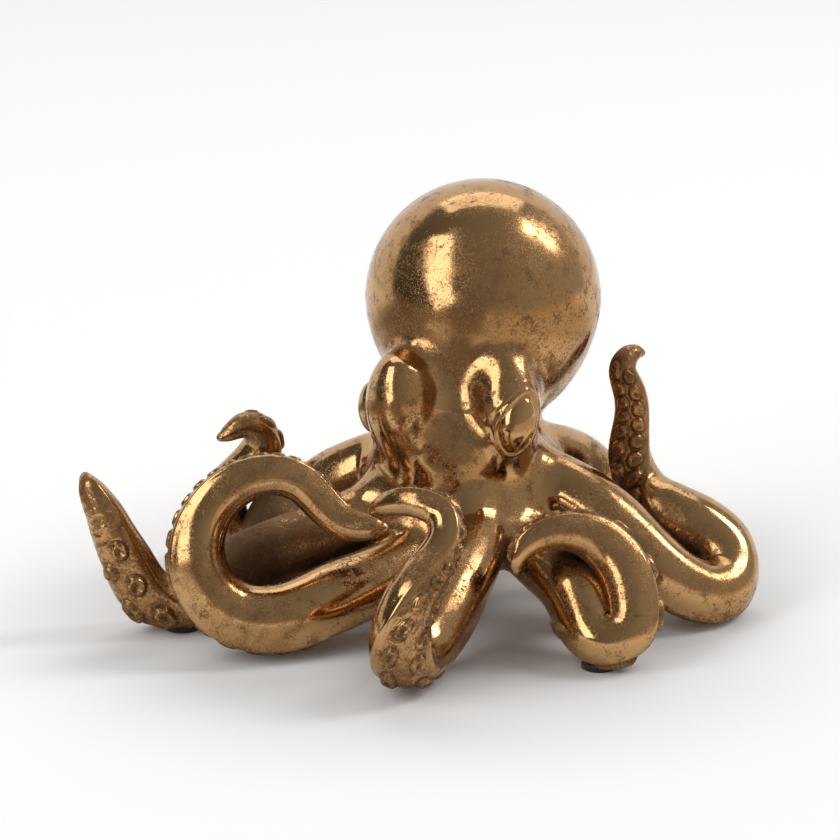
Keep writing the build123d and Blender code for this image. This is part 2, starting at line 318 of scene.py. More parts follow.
def armLine(facts):
    # centre line at even steps of length, with the direction, the back and side across it, and the radius
    route = np.array(facts["route"]) / 1000.0 * (*span, figure["armRoot"])
    points, radii = route[:, :3], route[:, 3]
    level = figure["padThickness"] - figure["footGrind"] if facts["padded"] else figure["floorGap"]
    points[:, 2] += level + section["soleReach"] * radii
    chords = runningLength(points)
    dense = cubicThrough(points, armMesh["curveSteps"])
    run = runningLength(dense)
    length = run[-1]
    at = np.arange(0.0, length + armMesh["lineStep"], armMesh["lineStep"])
    at[-1] = length
    centre = np.stack([np.interp(at, run, dense[:, axis]) for axis in range(3)], axis=1)
    along = np.gradient(centre, at, axis=0)
    along /= lengths(along)[:, None]
    radius = np.interp(at / length, chords / chords[-1], radii)
    radius = eased(radius, armMesh["radiusEase"], mode="reflect", reflect_type="odd")
    back = np.zeros_like(centre)
    held = np.array([0.0, 0.0, 1.0])
    for row, direction in enumerate(along):
        held = held - direction * held.dot(direction)
        held /= np.linalg.norm(held)
        back[row] = held
    side = np.cross(back, along)
    roll = np.array(facts["roll"])
    turn = np.radians(np.interp(at / length, roll[:, 0], roll[:, 1]))
    turn = eased(turn, armMesh["rollEase"], mode="edge")[:, None]
    rolledBack = np.cos(turn) * back + np.sin(turn) * side
    return {
        "at": at, "centre": centre, "along": along, "radius": radius, "length": length,
        "back": rolledBack, "side": np.cross(rolledBack, along), "joint": facts["joint"] * length,
    }


def sectionReach(angle):
    # distance to the skin as a share of the radius, by the angle from the back: a circle, and past the
    # rim an arc of the larger sole circle, with the edge between them eased
    lift = section["soleArc"] - section["soleReach"]
    drop = lift * np.cos(angle)
    sole = drop + np.sqrt(drop ** 2 + section["soleArc"] ** 2 - lift ** 2)
    return softUnion(np.ones_like(angle), sole, section["rimSoftness"])


def lineAt(line, at, name):
    # a quantity of the centre line at any length, straight between its steps
    place = np.clip(at / armMesh["lineStep"], 0.0, len(line["at"]) - 1.001)
    low = place.astype(int)
    part = place - low
    values = line[name]
    if values.ndim == 2:
        part = part[:, None]
    return values[low] * (1.0 - part) + values[low + 1] * part


lines = {name: armLine(facts) for name, facts in arms.items()}
print("centre lines:", {name: round(line["length"]) for name, line in lines.items()})

# Body: the mantle, head and trunk are rounded forms melted together, with a stub for each arm.
# Each form holds its middle and half sizes in millimetres and how far its crease is filled, and each row
# of the trunk its middle, lift and half sizes, in thousandths of the half span, height and mantle radius.
body = {
    "forms": [
        {"middle": (29.0, 33.0, 112.0), "half": (39.0, 42.0, 38.0), "fill": 14.0},
        {"middle": (15.5, -9.0, 92.0), "half": (34.0, 20.5, 34.0), "fill": 12.0},
        {"middle": (-8.4, -25.0, 98.5), "half": (15.2, 17.5, 23.5), "fill": 9.0},
        {"middle": (37.3, -25.5, 97.5), "half": (15.0, 16.5, 23.5), "fill": 9.5},
    ],
    "trunk": [
        (133, -10, 105, 460, 440), (133, -10, 150, 700, 660), (127, -10, 225, 830, 760),
        (113, -20, 310, 780, 720), (105, -45, 395, 660, 640), (103, -60, 455, 600, 540),
        (110, -50, 510, 420, 360),
    ],
    "trunkFill": 12.0,
    "armFill": 11.0,
    "armFillAtJoint": 1.0,
    "box": ((-70.0, -95.0, 5.0), (115.0, 105.0, 193.0)),
    "gridStep": 1.6,
    "longestEdge": 0.98,  # in the face, and how much longer beside it and on the mantle
    "besideFace": 0.80,
    "onMantle": 2.0,
    "faceMiddle": (14.0, -34.0, 96.0),
    "faceHalf": (38.0, 26.0, 32.0),
    "besideFrom": (0.9, 1.5),
    "awayFrom": (0.9, 1.3),
    "mantleFrom": (118.0, 132.0),
    "trunkSteps": 160,
    "trunkEase": 25,
}
mantleMiddle = np.array((0.187, 0.160, 0.716)) * span + (0.0, 0.0, figure["padThickness"])

# How the nearest place on a centre line is sought
search = {
    "stride": 6,  # of the steps looked at first
    "rounds": 3,
    "room": 22.0,  # points further out than this count as far away
    "farAway": 60.0,
    "chunk": 60000,
    "endTolerance": 0.02,
    "gridParts": 12,  # in which the body's grid is worked out
}


def ovalDistance(points, middle, half):
    # near enough the distance outside an oval: its scaled radius less one, over its gradient
    local = (points - middle) / half
    scaled = lengths(local)
    slope = lengths(local / half) + 1e-9
    return scaled * (scaled - 1.0) / slope


def trunkDistance(points):
    # level ovals whose middle and half sizes ease from row to row of the trunk's table
    rows = np.array(body["trunk"]) / 1000.0 * (*span, figure["mantleRadius"], figure["mantleRadius"])
    heights = figure["padThickness"] + rows[:, 2]
    fine = np.linspace(heights[0], heights[-1], body["trunkSteps"])
    even = (eased(np.interp(fine, heights, rows[:, column]), body["trunkEase"], mode="edge")
            for column in (0, 1, 3, 4))
    middleX, middleY, halfX, halfY = (np.interp(points[:, 2], fine, values) for values in even)
    scaled = np.hypot((points[:, 0] - middleX) / halfX, (points[:, 1] - middleY) / halfY)
    around = (scaled - 1.0) * np.minimum(halfX, halfY)
    over = np.maximum(heights[0] - points[:, 2], points[:, 2] - heights[-1])
    return np.where(over > 0.0, np.hypot(np.maximum(around, 0.0), over), np.maximum(around, over))


def tubeDistance(points, line, reach):
    # distance outside an arm's skin at the nearest place on its centre line, and how far along that is
    stations = line["at"] <= reach
    places = line["centre"][stations]
    coarse = places[::search["stride"]]
    room = line["radius"].max() + search["room"]
    near = np.all((points > places.min(axis=0) - room) & (points < places.max(axis=0) + room), axis=1)
    distance = np.full(len(points), search["farAway"])
    station = np.zeros(len(points))
    picked = np.flatnonzero(near)
    for chunk in np.array_split(picked, max(1, len(picked) // search["chunk"])):
        here = points[chunk]
        apart = ((here[:, None, :] - coarse[None]) ** 2).sum(axis=2)
        at = line["at"][apart.argmin(axis=1) * search["stride"]]
        for _ in range(search["rounds"]):
            offset = here - lineAt(line, at, "centre")
            at = np.clip(at + (offset * lineAt(line, at, "along")).sum(axis=1), 0.0, reach)
        offset = here - lineAt(line, at, "centre")
        back, side, past = ((offset * lineAt(line, at, key)).sum(axis=1) for key in ("back", "side", "along"))
        gap = np.hypot(back, side) - sectionReach(np.arctan2(side, back)) * lineAt(line, at, "radius")
        ended = np.abs(past) > search["endTolerance"]
        distance[chunk] = np.where(ended, np.hypot(np.maximum(gap, 0.0), past), gap)
        station[chunk] = at
    return distance, station


def bodyDistance(points, ended):
    # the melted forms, then each arm's stub, whose crease closes up towards its joint
    total = lengths(points - mantleMiddle) - figure["mantleRadius"]
    for form in body["forms"]:
        total = softUnion(total, ovalDistance(points, form["middle"], form["half"]), form["fill"])
    total = softUnion(total, trunkDistance(points), body["trunkFill"])
    total = total - faceRelief(points)
    past = meeting["overlapAfter"] if ended else meeting["follow"][1]
    for line in lines.values():
        gap, station = tubeDistance(points, line, line["joint"] + past)
        if ended:
            gap = gap + meeting["sink"] * smooth(station - line["joint"], *meeting["bodySink"])
        closing = smooth(station, meeting["closingFrom"] * line["joint"], line["joint"])
        fill = body["armFill"] + (body["armFillAtJoint"] - body["armFill"]) * closing
        total = softUnion(total, gap, fill)
    return total


# Eyes: an oval each, turned outward and leaning, with its ends drawn in and two lids round it. The lids
# are highest at the given turn about the eye.
eyes = {
    "eye_left": {
        "label": "leftEye", "middle": (-19.6, -9.5, 93.0), "half": (7.8, 12.4, 7.6),
        "facing": -76.0, "lean": 4.0, "highest": 150.0,
    },
    "eye_right": {
        "label": "rightEye", "middle": (41.4, -36.0, 93.2), "half": (9.2, 13.4, 8.2),
        "facing": 34.0, "lean": 14.0, "highest": 120.0,
    },
}
face = {
    "drawnIn": 0.22,
    "drawnInTo": 1.3,
    "lids": [(1.13, 0.08, 1.0), (1.36, 0.07, 0.42)],  # place and width in eye sizes, height
    "lidFront": (-3.5, 1.5),  # how far out from the eye's middle they set in
    "lidEven": 0.78,
    "dishes": [  # middle and half sizes, and bells as for the lids
        ((-5.5, -27.0, 120.0), (10.0, 7.5, 5.0), [(1.20, 0.36, 0.22), (0.0, 0.72, -0.80)]),
        ((32.0, -36.0, 115.8), (11.0, 6.0, 5.0), [(0.0, 0.72, -0.55)]),
    ],
    "eyeTurns": 96,
    "eyeLevels": 64,
}


def eyeFrame(facts):
    # across, up and outward directions of an eye
    facing, lean = math.radians(facts["facing"]), math.radians(facts["lean"])
    outward = np.array([math.sin(facing), -math.cos(facing), 0.0])
    level = np.array([math.cos(facing), math.sin(facing), 0.0])
    across = math.cos(lean) * level - (0.0, 0.0, math.sin(lean))
    return across, np.cross(across, outward), outward


def faceRelief(points):
    # lids about each eye, and a hollow with a soft rim on top of each brow
    total = np.zeros(len(points))
    for facts in eyes.values():
        across, up, outward = eyeFrame(facts)
        offset = points - facts["middle"]
        wide, tall = offset @ across / facts["half"][0], offset @ up / facts["half"][1]
        ring = np.hypot(wide / (1.0 - face["drawnIn"] * np.minimum(tall ** 2, face["drawnInTo"])), tall)
        turn = np.arctan2(tall, wide) - math.radians(facts["highest"])
        front = smooth(offset @ outward, *face["lidFront"])
        front = front * (face["lidEven"] + (1.0 - face["lidEven"]) * np.cos(turn))
        total += front * sum(bump(ring, *bell) for bell in face["lids"])
    for middle, half, bells in face["dishes"]:
        away = lengths((points - middle) / half)
        total += sum(bump(away, *bell) for bell in bells)
    return total


settling = {"step": 0.05, "leastSlope": 0.2, "furthest": 2.0}


def slopeOf(points, distance):
    # the gradient by central differences
    step = settling["step"]
    slope = np.empty_like(points)
    for axis in range(3):
        shift = np.zeros(3)
        shift[axis] = step
        slope[:, axis] = (distance(points + shift) - distance(points - shift)) / (2.0 * step)
    return slope


def settle(points, distance, rounds):
    # moves points onto the surface along the gradient, a step of distance over slope each round
    for _ in range(rounds):
        gap = distance(points)
        slope = slopeOf(points, distance)
        pull = gap / np.maximum((slope ** 2).sum(axis=1), settling["leastSlope"])
        pull = np.clip(pull, -settling["furthest"], settling["furthest"])
        points = points - pull[:, None] * slope
    return points


def netSurface(distance, low, high, step):
    # one point in each grid cell that the surface crosses, at the mean of its edge crossings, and one
    # four-sided face round each grid edge that it crosses
    counts = np.ceil((high - low) / step).astype(int) + 1
    grid = gridPoints(low, step, counts)
    values = np.concatenate([distance(part) for part in np.array_split(grid, search["gridParts"])]).reshape(counts)
    inside = values < 0.0
    cells = counts - 1
    corners = list(np.ndindex(2, 2, 2))
    stack = sum(inside[i:i + cells[0], j:j + cells[1], k:k + cells[2]].astype(int) for i, j, k in corners)
    active = np.argwhere((stack > 0) & (stack < 8))
    number = np.full(cells, -1)
    number[tuple(active.T)] = np.arange(len(active))
    total, hits = np.zeros((len(active), 3)), np.zeros(len(active))
    for start, axis in ((np.array(corner), axis) for corner in corners for axis in range(3) if not corner[axis]):
        edge = np.eye(3, dtype=int)[axis]
        a = values[tuple((active + start).T)]
        b = values[tuple((active + start + edge).T)]
        crossed = (a < 0.0) != (b < 0.0)
        share = a / np.where(crossed, a - b, 1.0)
        total += (start + share[:, None] * edge) * crossed[:, None]
        hits += crossed
    points = low + (active + total / hits[:, None]) * step
    faces = []
    for axis in range(3):
        one, two = (axis + 1) % 3, (axis + 2) % 3
        ahead = np.moveaxis(inside, (axis, one, two), (0, 1, 2))
        crossing = np.argwhere(ahead[:-1, 1:-1, 1:-1] != ahead[1:, 1:-1, 1:-1])
        outward = ahead[:-1, 1:-1, 1:-1][tuple(crossing.T)]
        ring = []
        for a, b in ((0, 0), (1, 0), (1, 1), (0, 1)):
            cell = np.empty_like(crossing)
            cell[:, axis] = crossing[:, 0]
            cell[:, one] = crossing[:, 1] + a
            cell[:, two] = crossing[:, 2] + b
            ring.append(number[tuple(cell.T)])
        quads = np.stack(ring, axis=1)
        faces.append(np.where(outward[:, None], quads, quads[:, ::-1]))
    quads = np.concatenate(faces)
    return points, np.concatenate([quads[:, [0, 1, 2]], quads[:, [0, 2, 3]]])


def refine(points, triangles, wanted):
    # halves each edge longer than wanted at its middle, and cuts a triangle in 2, 3 or 4 to suit
    edges = np.sort(np.concatenate([triangles[:, [0, 1]], triangles[:, [1, 2]], triangles[:, [2, 0]]]), axis=1)
    keys, back = np.unique(edges[:, 0] * len(points) + edges[:, 1], return_inverse=True)
    ends = np.stack([keys // len(points), keys % len(points)], axis=1)
    middles = points[ends].mean(axis=1)
    long = lengths(points[ends[:, 0]] - points[ends[:, 1]]) > wanted(middles)
    label = np.where(long, len(points) + np.cumsum(long) - 1, -1)
    cut = label[back.reshape(3, -1).T]
    grown = np.concatenate([points, middles[long]])
    split = cut >= 0
    count = split.sum(axis=1)
    pieces = [triangles[count == 0]]
    for turn in range(3):
        order = np.roll(np.arange(3), -turn)
        a, b, c = triangles[:, order].T
        ab, bc, ca = cut[:, order].T
        flags = split[:, order]
        one = (count == 1) & flags[:, 0]
        pieces += [np.stack([a, ab, c], 1)[one], np.stack([ab, b, c], 1)[one]]
        two = (count == 2) & flags[:, 0] & flags[:, 1]
        pieces += [np.stack([ab, b, bc], 1)[two], np.stack([a, ab, bc], 1)[two], np.stack([a, bc, c], 1)[two]]
    a, b, c = triangles[count == 3].T
    ab, bc, ca = cut[count == 3].T
    pieces += [np.stack(t, 1) for t in ((a, ab, ca), (ab, b, bc), (ca, bc, c), (ab, bc, ca))]
    return grown, np.concatenate(pieces)


def placed(name, data):
    thing = bpy.data.objects.new(name, data)
    scene.collection.objects.link(thing)
    return thing


# What the brass is told of each point: crowded places, darkened partly as patina and partly as painted shade, worn
# soles, sucker hollows, darkened as painted shade, undersides, matte metal
coats = ("recess", "sole", "pit", "under", "matte")


def makePiece(name, points, triangles, slot, node, material, values):
    # a mesh from whole arrays, in metres, with one number per point for each coat
    mesh = bpy.data.meshes.new(name)
    mesh.vertices.add(len(points))
    mesh.vertices.foreach_set("co", (points * mm).astype(np.float32).ravel())
    mesh.loops.add(triangles.size)
    mesh.loops.foreach_set("vertex_index", triangles.astype(np.int32).ravel())
    mesh.polygons.add(len(triangles))
    mesh.polygons.foreach_set("loop_start", np.arange(0, triangles.size, 3, dtype=np.int32))
    mesh.polygons.foreach_set("use_smooth", np.ones(len(triangles), dtype=bool))
    mesh.update(calc_edges=True)
    mesh.validate()
    for label in coats:
        layer = mesh.attributes.new(label, "FLOAT", "POINT")
        layer.data.foreach_set("value", values.get(label, np.zeros(len(points))).astype(np.float32))
    mesh.materials.append(material)
    piece = placed(name, mesh)
    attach(piece, "root")
    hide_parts(node)
    print("made", name, len(points), "points", len(triangles), "faces")


# Brass and felt
class Wire:
    # one output socket; arithmetic on it adds Math nodes
    def __init__(self, board, socket):
        self.board, self.socket = board, socket

    def math(self, operation, a, b):
        return self.board.add("ShaderNodeMath", {"operation": operation}, {0: a, 1: b})

    def __add__(self, other):
        return self.math("ADD", self, other)

    def __sub__(self, other):
        return self.math("SUBTRACT", self, other)

    def __rsub__(self, other):
        return self.math("SUBTRACT", other, self)

    def __mul__(self, other):
        return self.math("MULTIPLY", self, other)

    def clamp(self):
        return self.board.add("ShaderNodeClamp", {}, {0: self})

    __radd__ = __add__
    __rmul__ = __mul__


class Board:
    # the nodes of one material or of the world
    def __init__(self, owner):
        owner.use_nodes = True
        self.tree = owner.node_tree
        self.tree.nodes.clear()

    def add(self, kind, settings, inputs, output=0):
        node = self.tree.nodes.new(kind)
        for key, value in settings.items():
            setattr(node, key, value)
        for key, value in inputs.items():
            if isinstance(value, Wire):
                self.tree.links.new(value.socket, node.inputs[key])
            else:
                node.inputs[key].default_value = value
        return Wire(self, node.outputs[output]) if len(node.outputs) else None

    def place(self):
        return self.add("ShaderNodeTexCoord", {}, {}, output=3)

    def noise(self, place, size, detail, roughness=0.55, distortion=0.0):
        # noise whose blobs are about the given size, in millimetres
        return self.add("ShaderNodeTexNoise", {}, {
            "Vector": place, "Scale": 1.0 / (size * mm), "Detail": detail,
            "Roughness": roughness, "Distortion": distortion,
        })

    def steps(self, value, low, high):
        # 0 at low and 1 at high, eased between
        return self.add("ShaderNodeMapRange", {"interpolation_type": "SMOOTHSTEP"}, {0: value, 1: low, 2: high})

    def mix(self, share, first, second):
        return self.add("ShaderNodeMix", {"data_type": "RGBA"}, {0: share, 6: first, 7: second}, output=2)

    def relief(self, look, height):
        return self.add("ShaderNodeBump", {}, {
            "Strength": look["reliefStrength"], "Distance": look["reliefDepth"], "Height": height,
        })

    def surface(self, inputs):
        shader = self.add("ShaderNodeBsdfPrincipled", {}, inputs)
        self.add("ShaderNodeOutputMaterial", {}, {"Surface": shader})


# The noises hold their size in millimetres, detail, roughness and distortion. A name in From is where a
# mask sets in, and one in Where is where it is let in.
brassLook = {
    "polished": (0.54, 0.315, 0.134, 1.0),
    "aged": (0.40, 0.215, 0.088, 1.0),
    "oxide": (0.110, 0.054, 0.022, 1.0),
    "copper": (0.50, 0.262, 0.105, 1.0),
    # near-black, laid where metal crowds round: partly unpolished casting, partly painted shade
    "raw": (0.085, 0.052, 0.030, 1.0),
    "speck": (0.86, 0.69, 0.42, 1.0),
    "roughness": 0.075,
    "oxideRoughness": 0.48,
    "cloud": (26.0, 3.0),
    "mottle": (5.5, 5.0, 0.66, 0.1),
    "fine": (1.1, 3.0, 0.6),
    "dust": (0.55, 2.0, 0.5),
    "agedFrom": (0.475, 0.585),
    "patchFrom": (0.545, 0.620),
    "pitFrom": (0.60, 0.67),
    "pitWhere": (0.40, 0.56),
    "speckFrom": (0.56, 0.64),
    "speckWhere": (0.42, 0.56),
    "dullFrom": (0.42, 0.60),
    "rawAndShadeFrom": (0.62, 0.95),
    "rawAndShadeWhere": (0.50, 0.60),
    "reliefStrength": 0.35,
    "reliefDepth": 0.00012,
}


def makeBrass(name, look, polish=0.0):
    # each mask is a weighted sum of noises and coats, eased into a step
    material = bpy.data.materials.new(name)
    board = Board(material)
    place = board.place()
    cloud, mottle, fine, dust = (board.noise(place, *look[key]) for key in ("cloud", "mottle", "fine", "dust"))
    recess, sole, pit, under, matte = (
        board.add("ShaderNodeAttribute", {"attribute_name": label}, {}, output=2) for label in coats)
    # worn: crowding, darkening partly as patina and partly as painted shade, with soles and undersides darker and
    # less on the eyes
    worn = recess * 0.24 + sole * 0.07 + under * 0.10 - polish
    aged = board.steps(cloud * 0.42 + mottle * 0.34 + fine * 0.24 + worn, *look["agedFrom"])
    patch = board.steps(mottle * 0.52 + fine * 0.48 + worn * 0.9 + matte * 0.035, *look["patchFrom"])
    # the suckers' painted shade joins the oxide patches
    patch = (patch * 0.62 + pit * 0.55).clamp()
    pits = board.steps(dust, *look["pitFrom"]) * board.steps(cloud + matte * 0.12, *look["pitWhere"])
    specks = board.steps(fine, *look["speckFrom"]) * board.steps(mottle, *look["speckWhere"])
    specks = specks * (0.38 + under * 0.62)
    dull = (board.steps(fine, *look["dullFrom"]) * 0.75 + 0.25) * (matte + sole * 0.6).clamp()
    dull = dull.clamp()
    # near-black where metal crowds round, partly unpolished casting and partly painted shade, mottled
    rawAndShadeMask = board.steps(recess, *look["rawAndShadeFrom"])
    colour = board.mix(aged, look["polished"], look["aged"])
    for share, over in (
        (dull, "copper"), (patch, "oxide"), ((specks * 0.6).clamp(), "speck"), ((pits * 0.55).clamp(), "oxide"),
        (rawAndShadeMask * (1.0 - board.steps(mottle, *look["rawAndShadeWhere"]) * 0.45), "raw"),
    ):
        colour = board.mix(share, colour, look[over])
    rough = aged * 0.13 + patch * (look["oxideRoughness"] - look["roughness"]) + under * 0.08
    rough = (rough + rawAndShadeMask * 0.28 + dull * 0.15 + look["roughness"] + fine * 0.03).clamp()
    relief = (fine * 0.35 + dust * 0.25) * (0.4 + aged * 0.9 + matte * 0.9)
    relief = relief + mottle * 0.7 - pits * 0.9 - patch * 0.4
    board.surface({
        "Base Color": colour, "Metallic": 1.0 - patch * 0.12, "Roughness": rough,
        "Normal": board.relief(look, relief),
    })
    return material


feltLook = {
    "dark": (0.006, 0.006, 0.007, 1.0),
    "pale": (0.030, 0.029, 0.028, 1.0),
    "fibre": (0.5, 5.0, 0.7, 1.0),
    "roughness": 0.95,
    "sheen": 0.3,
    "reliefStrength": 0.8,
    "reliefDepth": 0.0003,
}


def makeFelt(name, look):
    material = bpy.data.materials.new(name)
    board = Board(material)
    fibre = board.noise(board.place(), *look["fibre"])
    board.surface({
        "Base Color": board.mix(fibre, look["dark"], look["pale"]), "Roughness": look["roughness"],
        "Normal": board.relief(look, fibre), "Sheen Weight": look["sheen"],
    })
    return material


brass = makeBrass("agedBrass", brassLook)
eyeBrass = makeBrass("eyeBrass", brassLook, 0.06)
rawBrass = makeBrass("rawBrass", {**brassLook, "polished": (0.34, 0.22, 0.11, 1.0), "roughness": 0.42})
felt = makeFelt("blackFelt", feltLook)


# Crowding: how much metal stands round each place, from blurred grids of the whole figurine; with it the brass
# gets painted shade, along with patina, in crevices and between parts
crowding = {
    "cell": 3.0,
    "room": 30.0,
    "widths": (3.0, 6.0, 11.0),  # of the blurs
    "away": 2.2,  # how far out from the skin each is read, in its widths
    "recessFrom": (0.05, 0.60),
    "underFrom": (0.3, 0.9),
}


def blurred(grid, width):
    # a bell-shaped blur along each axis in turn
    reach = np.arange(-int(3 * width), int(3 * width) + 1)
    kernel = np.exp(-0.5 * (reach / width) ** 2)
    kernel /= kernel.sum()
    for axis in range(3):
        grid = sum(weight * np.roll(grid, offset, axis=axis) for offset, weight in zip(reach, kernel))
    return grid


def crowdGrids():
    cell = crowding["cell"]
    low = np.array(cadBox[0]) / mm - crowding["room"]
    high = np.array(cadBox[1]) / mm + crowding["room"]
    counts = np.ceil((high - low) / cell).astype(int)
    grid = gridPoints(low, cell, counts)
    gap = np.minimum(lengths(grid - mantleMiddle) - figure["mantleRadius"], trunkDistance(grid))
    for line in lines.values():
        gap = np.minimum(gap, tubeDistance(grid, line, line["length"])[0])
    filled = np.clip(0.5 - gap / cell, 0.0, 1.0).reshape(counts)
    return low, [(blurred(filled, width / cell), crowding["away"] * width) for width in crowding["widths"]]


def crowdAt(points, normals):
    # the mean of the blurred grids a little way out from the surface
    total = np.zeros(len(points))
    for grid, away in crowdLayers:
        place = (points + normals * away - crowdLow) / crowding["cell"]
        base = np.clip(np.floor(place).astype(int), 0, np.array(grid.shape) - 2)
        for step, share in cornerShares(np.clip(place - base, 0.0, 1.0)):
            total += share * grid[tuple((base + step).T)] / len(crowdLayers)
    return total


crowdLow, crowdLayers = crowdGrids()
print("crowding grids ready")

# Matte metal: patches at the given spots with ragged edges, and clouds everywhere. The noises hold their
# size, layers and seed.
matte = {
    "spots": [
        {"middle": (54.0, -22.0, 131.0), "reach": (17.0, 38.0), "strength": 1.0},
        {"middle": (42.0, -11.0, 171.0), "reach": (4.0, 24.0), "strength": 0.35},
        {"middle": (3.0, -20.0, 126.0), "reach": (4.0, 20.0), "strength": 0.5},
    ],
    "edge": (9.0, 3, 400),
    "raggedBy": 7.0,
    "cloud": (21.0, 4, 410),
    "cloudFrom": (0.02, 0.50),
    "cloudStrength": 0.95,
}


def coatsAt(points, normals):
    ragged = layeredNoise(points, *matte["edge"]) * matte["raggedBy"]
    dull = matte["cloudStrength"] * smooth(layeredNoise(points, *matte["cloud"]), *matte["cloudFrom"])
    for spot in matte["spots"]:
        away = lengths(points - spot["middle"]) + ragged
        dull = np.maximum(dull, spot["strength"] * (1.0 - smooth(away, *spot["reach"])))
    return {
        # recess: crowding read just off the skin, for painted shade and patina in crevices and between parts
        "recess": smooth(crowdAt(points, normals), *crowding["recessFrom"]),
        "under": smooth(-normals[:, 2], *crowding["underFrom"]),
        "matte": dull,
    }


def bodyMesh():
    def skin(points):
        return bodyDistance(points, True)

    def wanted(places):
        away = lengths((places - body["faceMiddle"]) / body["faceHalf"])
        mantle = smooth(places[:, 2], *body["mantleFrom"])
        return (body["longestEdge"] + body["besideFace"] * smooth(away, *body["besideFrom"])
                + body["onMantle"] * mantle * smooth(away, *body["awayFrom"]))

    low, high = np.array(body["box"])
    points, triangles = netSurface(skin, low, high, body["gridStep"])
    points = settle(points, skin, 2)
    for _ in range(2):
        points, triangles = refine(points, triangles, wanted)
        points = settle(points, skin, 1)
    normals = slopeOf(points, skin)
    normals /= lengths(normals)[:, None]
    return points, triangles, normals


points, triangles, normals = bodyMesh()
makePiece("mantleAndHead", points, triangles, "brass", "mantle_and_head", brass, coatsAt(points, normals))


def columnAngles():
    # angles from the back, closer together on the sucker side
    angle = np.linspace(-math.pi, math.pi, armMesh["angleSteps"])
    density = 1.0 + armMesh["solePull"] * smooth(np.abs(np.degrees(angle)), *armMesh["soleFrom"])
    total = np.concatenate([[0.0], np.cumsum((density[1:] + density[:-1]) / 2.0)])
    return np.interp(np.arange(armMesh["columns"]) / armMesh["columns"] * total[-1], total, angle)


# A sucker, by the distance from its middle in sucker sizes. The bells hold their place, width and height.
sucker = {
    "reach": 1.6,
    "domeReach": 1.15,
    "domeHeight": 0.42,
    "ring": (0.74, 0.22, 0.20),
    "hollow": (0.0, 0.42, -0.34),
    "groove": (1.22, 0.14, -0.10),
    # painted shade in the hollow and in the groove
    "hollowShade": (0.0, 0.36, 1.0),
    "grooveShade": (1.2, 0.16, 0.6),
}


def suckerRelief(facts, line, at, angles, radius):
    # two rows of cups: each a low dome with a raised ring, a hollow and a groove round it, with painted shade for
    # the hollow and the groove
    height = np.zeros((len(at), len(angles)))
    dark = np.zeros_like(height)
    place = facts["suckerFrom"] * line["length"]
    middle = math.pi - math.radians(facts["suckerAngle"])
    while place < facts["suckerTo"] * line["length"]:
        here = np.interp(place, at, radius)
        size = facts["suckerSize"] * here
        rows = np.flatnonzero(np.abs(at - place) < sucker["reach"] * size)
        turn = (angles - middle + math.pi) % (2.0 * math.pi) - math.pi
        away = np.hypot((at[rows, None] - place) / size, turn * here / size)
        dome = np.clip(1.0 - (away / sucker["domeReach"]) ** 2, 0.0, 1.0)
        cup = facts["cup"] * (bump(away, *sucker["ring"]) + bump(away, *sucker["hollow"]))
        height[rows] += size * (sucker["domeHeight"] * dome + cup + bump(away, *sucker["groove"]))
        shade = bump(away, *sucker["hollowShade"]) * facts["cup"] + bump(away, *sucker["grooveShade"])
        dark[rows] = np.maximum(dark[rows], shade)
        place += facts["suckerPitch"] * size
        middle = -middle
    return height, dark


def closedTube(rows, columns):
    # triangles between rings, and a fan at each end to the two points that come after the rings
    ring = np.arange(rows * columns).reshape(rows, columns)
    after = np.roll(ring, -1, axis=1)
    quads = np.stack([ring[:-1], ring[1:], after[1:], after[:-1]], axis=-1).reshape(-1, 4)
    first, last = np.full(columns, rows * columns), np.full(columns, rows * columns + 1)
    return np.concatenate([
        quads[:, [0, 1, 2]], quads[:, [0, 2, 3]],
        np.stack([first, ring[0], after[0]], axis=1), np.stack([last, after[-1], ring[-1]], axis=1),
    ])


